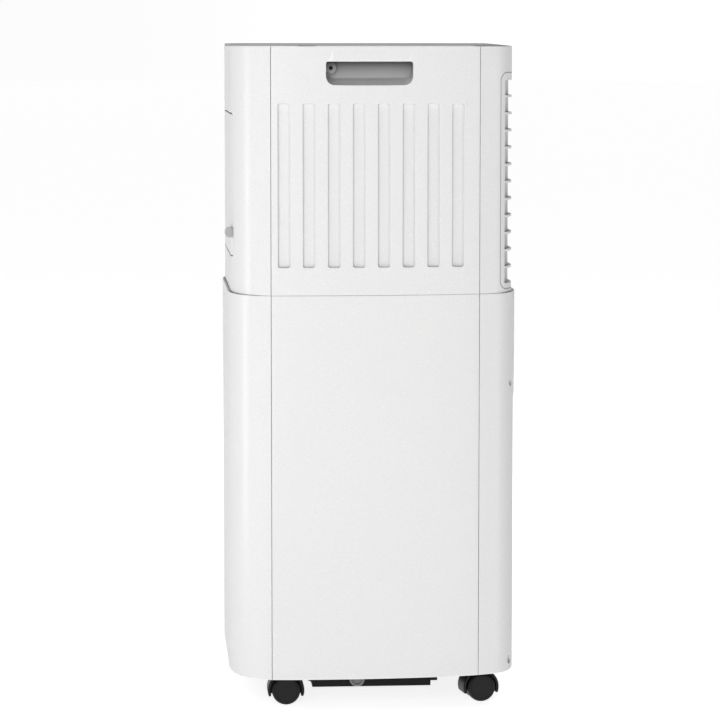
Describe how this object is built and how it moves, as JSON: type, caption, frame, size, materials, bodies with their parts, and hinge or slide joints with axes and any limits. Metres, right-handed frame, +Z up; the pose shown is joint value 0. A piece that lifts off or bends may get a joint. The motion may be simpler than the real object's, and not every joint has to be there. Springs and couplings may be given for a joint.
{
  "type": "dehumidifier",
  "caption": "Tall free-standing dehumidifier cabinet with a front air flap, rear intake grille, warm air outlet, side handle cups and swivel casters.",
  "frame": {"origin": "on the floor, under the middle of the cabinet", "axes": "+Z up, -Y the front with the air flap, +Y the rear with the intake grille, +X the side with the drain plug"},
  "size_m": [0.3326, 0.3103, 0.6997],
  "materials": {
    "shell_white": "satin moulded",
    "inner_white": "satin moulded",
    "cover_grey": "satin moulded",
    "base_black": "fine matt texture",
    "lens_black": "gloss",
    "button_grey": "satin",
    "filter_mesh": "woven mesh",
    "steel": "zinc plated",
    "aluminium": "bare fins",
    "board_green": "solder mask",
    "compressor_black": "satin paint",
    "plug_grey": "soft matt",
    "caster_black": "satin moulded",
    "axle_steel": "zinc plated"
  },
  "bodies": {
    "cabinet": {"base_pan": "base_black", "base_tray": "base_black", "lower_front_shell": "shell_white", "lower_side_panel_right": "shell_white", "lower_side_panel_left": "shell_white", "lower_rear_shell": "shell_white", "upper_front_shell": "shell_white", "upper_rear_shell": "shell_white", "upper_side_panel_right": "shell_white", "handle_cup_right": "cover_grey", "upper_side_panel_left": "shell_white", "handle_cup_left": "cover_grey", "top_cover": "cover_grey", "control_lens": "lens_black", "control_board": "board_green", "outlet_frame": "inner_white", "flap_motor": "steel", "exhaust_outlet": "shell_white", "cord_gland": "base_black", "evaporator": "aluminium", "drip_deck": "base_black", "blower_housing": "inner_white", "blower_motor": "steel", "condenser": "aluminium", "fan_housing": "inner_white", "fan_motor": "steel", "compressor": "compressor_black"},
    "outlet_flap": {"outlet_flap": "shell_white"},
    "vane_1": {"vane_1": "inner_white"},
    "vane_2": {"vane_2": "inner_white"},
    "vane_3": {"vane_3": "inner_white"},
    "vane_4": {"vane_4": "inner_white"},
    "vane_link": {"vane_link": "inner_white"},
    "intake_grille": {"intake_grille": "shell_white", "air_filter": "filter_mesh"},
    "drain_plug": {"drain_plug": "plug_grey"},
    "drain_cap": {"drain_cap": "plug_grey"},
    "blower_wheel": {"blower_wheel": "inner_white"},
    "fan_wheel": {"fan_wheel": "inner_white"},
    "button_power": {"button_power": "button_grey"},
    "button_mode": {"button_mode": "button_grey"},
    "button_fan_speed": {"button_fan_speed": "button_grey"},
    "button_timer": {"button_timer": "button_grey"},
    "button_swing": {"button_swing": "button_grey"},
    "caster_front_right": {"caster_hood_front_right": "caster_black", "caster_axle_front_right": "axle_steel"},
    "wheel_front_right_right": {"caster_wheel_front_right_right": "caster_black"},
    "wheel_front_right_left": {"caster_wheel_front_right_left": "caster_black"},
    "caster_front_left": {"caster_hood_front_left": "caster_black", "caster_axle_front_left": "axle_steel"},
    "wheel_front_left_right": {"caster_wheel_front_left_right": "caster_black"},
    "wheel_front_left_left": {"caster_wheel_front_left_left": "caster_black"},
    "caster_rear_right": {"caster_hood_rear_right": "caster_black", "caster_axle_rear_right": "axle_steel"},
    "wheel_rear_right_right": {"caster_wheel_rear_right_right": "caster_black"},
    "wheel_rear_right_left": {"caster_wheel_rear_right_left": "caster_black"},
    "caster_rear_left": {"caster_hood_rear_left": "caster_black", "caster_axle_rear_left": "axle_steel"},
    "wheel_rear_left_right": {"caster_wheel_rear_left_right": "caster_black"},
    "wheel_rear_left_left": {"caster_wheel_rear_left_left": "caster_black"}
  },
  "joints": [
    {"name": "flap_tilt", "type": "hinge", "parent": "cabinet", "child": "outlet_flap", "pos_m": [0, -0.138, 0.502], "axis": [1, 0, 0], "range_deg": [0, 60]},
    {"name": "vane_1_turn", "type": "hinge", "parent": "cabinet", "child": "vane_1", "pos_m": [-0.069, -0.124, 0.565], "axis": [0, 0, 1], "range_deg": [-35, 35]},
    {"name": "vane_2_turn", "type": "hinge", "parent": "cabinet", "child": "vane_2", "pos_m": [-0.023, -0.124, 0.565], "axis": [0, 0, 1], "range_deg": [-35, 35]},
    {"name": "vane_3_turn", "type": "hinge", "parent": "cabinet", "child": "vane_3", "pos_m": [0.023, -0.124, 0.565], "axis": [0, 0, 1], "range_deg": [-35, 35]},
    {"name": "vane_4_turn", "type": "hinge", "parent": "cabinet", "child": "vane_4", "pos_m": [0.069, -0.124, 0.565], "axis": [0, 0, 1], "range_deg": [-35, 35]},
    {"name": "vane_link_slide", "type": "slide", "parent": "cabinet", "child": "vane_link", "axis": [1, 0, 0], "range_m": [-0.0075, 0.0075]},
    {"name": "button_power_press", "type": "slide", "parent": "cabinet", "child": "button_power", "axis": [0, 0, -1], "range_m": [0, 0.001], "stiffness_N_per_m": 800, "springref_m": -0.0006},
    {"name": "button_mode_press", "type": "slide", "parent": "cabinet", "child": "button_mode", "axis": [0, 0, -1], "range_m": [0, 0.001], "stiffness_N_per_m": 800, "springref_m": -0.0006},
    {"name": "button_fan_speed_press", "type": "slide", "parent": "cabinet", "child": "button_fan_speed", "axis": [0, 0, -1], "range_m": [0, 0.001], "stiffness_N_per_m": 800, "springref_m": -0.0006},
    {"name": "button_timer_press", "type": "slide", "parent": "cabinet", "child": "button_timer", "axis": [0, 0, -1], "range_m": [0, 0.001], "stiffness_N_per_m": 800, "springref_m": -0.0006},
    {"name": "button_swing_press", "type": "slide", "parent": "cabinet", "child": "button_swing", "axis": [0, 0, -1], "range_m": [0, 0.001], "stiffness_N_per_m": 800, "springref_m": -0.0006},
    {"name": "intake_grille_pull", "type": "slide", "parent": "cabinet", "child": "intake_grille", "axis": [0, 1, 0], "range_m": [0, 0.04]},
    {"name": "drain_plug_pull", "type": "slide", "parent": "cabinet", "child": "drain_plug", "axis": [1, 0, 0], "range_m": [0, 0.03]},
    {"name": "drain_cap_pull", "type": "slide", "parent": "cabinet", "child": "drain_cap", "axis": [0, 1, 0], "range_m": [0, 0.03]},
    {"name": "blower_spin", "type": "hinge", "parent": "cabinet", "child": "blower_wheel", "pos_m": [0, 0.026, 0.565], "axis": [0, 1, 0], "continuous": true},
    {"name": "fan_spin", "type": "hinge", "parent": "cabinet", "child": "fan_wheel", "pos_m": [0, 0.066, 0.205], "axis": [0, 1, 0], "continuous": true},
    {"name": "swivel_front_right", "type": "hinge", "parent": "cabinet", "child": "caster_front_right", "pos_m": [0.102, -0.1035, 0.04], "axis": [0, 0, 1], "continuous": true},
    {"name": "roll_front_right_right", "type": "hinge", "parent": "caster_front_right", "child": "wheel_front_right_right", "pos_m": [0.102, -0.0915, 0.0151], "axis": [1, 0, 0], "continuous": true},
    {"name": "roll_front_right_left", "type": "hinge", "parent": "caster_front_right", "child": "wheel_front_right_left", "pos_m": [0.102, -0.0915, 0.0151], "axis": [1, 0, 0], "continuous": true},
    {"name": "swivel_front_left", "type": "hinge", "parent": "cabinet", "child": "caster_front_left", "pos_m": [-0.102, -0.1035, 0.04], "axis": [0, 0, 1], "continuous": true},
    {"name": "roll_front_left_right", "type": "hinge", "parent": "caster_front_left", "child": "wheel_front_left_right", "pos_m": [-0.102, -0.0915, 0.0151], "axis": [1, 0, 0], "continuous": true},
    {"name": "roll_front_left_left", "type": "hinge", "parent": "caster_front_left", "child": "wheel_front_left_left", "pos_m": [-0.102, -0.0915, 0.0151], "axis": [1, 0, 0], "continuous": true},
    {"name": "swivel_rear_right", "type": "hinge", "parent": "cabinet", "child": "caster_rear_right", "pos_m": [0.102, 0.1035, 0.04], "axis": [0, 0, 1], "continuous": true},
    {"name": "roll_rear_right_right", "type": "hinge", "parent": "caster_rear_right", "child": "wheel_rear_right_right", "pos_m": [0.10012, 0.11535, 0.0151], "axis": [0.9877, 0.1564, 0], "continuous": true},
    {"name": "roll_rear_right_left", "type": "hinge", "parent": "caster_rear_right", "child": "wheel_rear_right_left", "pos_m": [0.10012, 0.11535, 0.0151], "axis": [0.9877, 0.1564, 0], "continuous": true},
    {"name": "swivel_rear_left", "type": "hinge", "parent": "cabinet", "child": "caster_rear_left", "pos_m": [-0.102, 0.1035, 0.04], "axis": [0, 0, 1], "continuous": true},
    {"name": "roll_rear_left_right", "type": "hinge", "parent": "caster_rear_left", "child": "wheel_rear_left_right", "pos_m": [-0.10388, 0.11535, 0.0151], "axis": [0.9877, 0.1564, 0], "continuous": true},
    {"name": "roll_rear_left_left", "type": "hinge", "parent": "caster_rear_left", "child": "wheel_rear_left_left", "pos_m": [-0.10388, 0.11535, 0.0151], "axis": [0.9877, 0.1564, 0], "continuous": true}
  ],
  "couplings": [
    {"joint": "vane_2_turn", "follows": "vane_1_turn", "ratio": 1},
    {"joint": "vane_3_turn", "follows": "vane_1_turn", "ratio": 1},
    {"joint": "vane_4_turn", "follows": "vane_1_turn", "ratio": 1},
    {"joint": "vane_link_slide", "follows": "vane_1_turn", "m_per_rad": -0.012}
  ]
}
